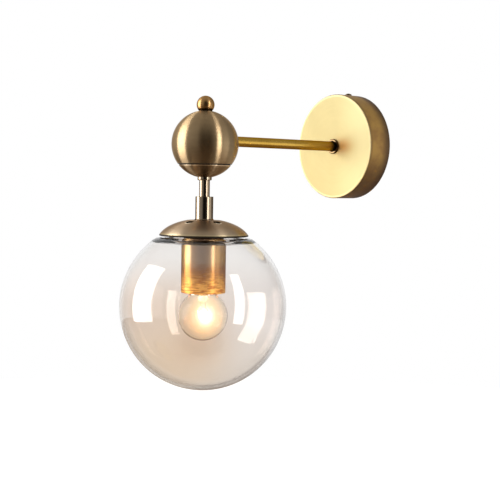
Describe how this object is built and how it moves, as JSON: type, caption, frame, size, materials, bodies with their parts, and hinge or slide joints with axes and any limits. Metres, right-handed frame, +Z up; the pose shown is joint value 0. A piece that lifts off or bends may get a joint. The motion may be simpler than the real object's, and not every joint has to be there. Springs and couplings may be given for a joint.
{
  "type": "globe wall sconce",
  "caption": "Wall light with a round canopy, a straight arm, a ball elbow under a small finial, a domed cap and a hanging tinted glass globe round a lampholder cup and a clear bulb.",
  "frame": {"origin": "centre of the canopy and bracket, on the wall plane and on the arm's axis", "axes": "+Y into the wall, -Y along the arm to the lamp, +Z up, +X to the right of a person who faces the wall"},
  "size_m": [0.15, 0.26, 0.277],
  "materials": {
    "canopy_brass": "brushed antique brass, lacquered",
    "arm_brass": "satin brass",
    "ring_brass": "satin antique brass",
    "ball_bronze": "lathe-brushed antique bronze",
    "finial_bronze": "polished bronze",
    "stem_brass": "polished antique brass",
    "dome_bronze": "satin antique bronze",
    "cup_brass": "brushed brass",
    "turned_brass": "bright turned brass",
    "gallery_brass": "satin brass",
    "zinc_steel": "bright zinc plate",
    "nickel_steel": "nickel plate",
    "solder": "dull solder",
    "contact_brass": "plain sheet brass",
    "block_nylon": "moulded nylon",
    "bush_nylon": "moulded nylon",
    "brown_insulation": "smooth insulation",
    "blue_insulation": "smooth insulation",
    "earth_insulation": "green and yellow striped insulation",
    "silicone": "matt translucent silicone",
    "amber_glass": "clear champagne-tinted blown glass",
    "clear_glass": "clear blown glass",
    "insulator_glass": "black fused glass",
    "porcelain": "white glazed porcelain",
    "lead_wire": "bright nickel wire",
    "filament": "lit tungsten coil"
  },
  "bodies": {
    "fixture": {"canopy": "canopy_brass", "wall_bracket": "zinc_steel", "canopy_screw": "ring_brass", "canopy_peg": "zinc_steel", "terminal_block": "block_nylon", "pole_screws": "zinc_steel", "block_screw": "zinc_steel", "earth_lug": "zinc_steel", "earth_screw": "zinc_steel", "earth_wire": "earth_insulation", "live_wire": "brown_insulation", "neutral_wire": "blue_insulation", "arm_tube": "arm_brass", "arm_collar": "ring_brass", "arm_washer": "zinc_steel", "arm_nut": "zinc_steel", "arm_bush": "bush_nylon", "ball_shell": "ball_bronze", "ball_cap": "ball_bronze", "junction_block": "turned_brass", "stud_spacer": "turned_brass", "finial_stud": "turned_brass", "finial": "finial_bronze", "stem_collar": "stem_brass", "stem_tube": "stem_brass", "stem_sleeve": "stem_brass", "stem_nipple": "turned_brass", "dome_cap": "dome_bronze", "dome_spacer": "turned_brass", "gallery": "gallery_brass", "socket_cup": "cup_brass", "lock_washer": "zinc_steel", "lock_nut": "zinc_steel", "holder_bridge": "zinc_steel", "holder_core": "porcelain", "holder_screws": "zinc_steel", "holder_terminals": "contact_brass", "screw_shell": "contact_brass", "centre_contact": "contact_brass"},
    "seal": {"neck_seal": "silicone"},
    "globe": {"globe": "amber_glass"},
    "bulb_contact": {"bulb_tip": "solder"},
    "bulb": {"bulb_insulator": "insulator_glass", "bulb_cap": "nickel_steel", "bulb_glass": "clear_glass", "bulb_mount": "clear_glass", "bulb_leads": "lead_wire", "bulb_filament": "filament"}
  },
  "joints": [
    {"name": "globe_drop", "type": "slide", "parent": "fixture", "child": "seal", "axis": [0, 0, -1], "range_m": [0, 0.0045]},
    {"name": "globe_turn", "type": "hinge", "parent": "seal", "child": "globe", "pos_m": [0, -0.185, -0.149], "axis": [0, 0, -1], "range_deg": [0, 540]},
    {"name": "bulb_drop", "type": "slide", "parent": "fixture", "child": "bulb_contact", "axis": [0, 0, -1], "range_m": [0, 0.0145]},
    {"name": "bulb_turn", "type": "hinge", "parent": "bulb_contact", "child": "bulb", "pos_m": [0, -0.185, -0.15], "axis": [0, 0, -1], "range_deg": [0, 1440]}
  ],
  "couplings": [
    {"joint": "globe_turn", "follows": "globe_drop", "rad_per_m": 2094.4},
    {"joint": "bulb_turn", "follows": "bulb_drop", "rad_per_m": 1731.4}
  ]
}
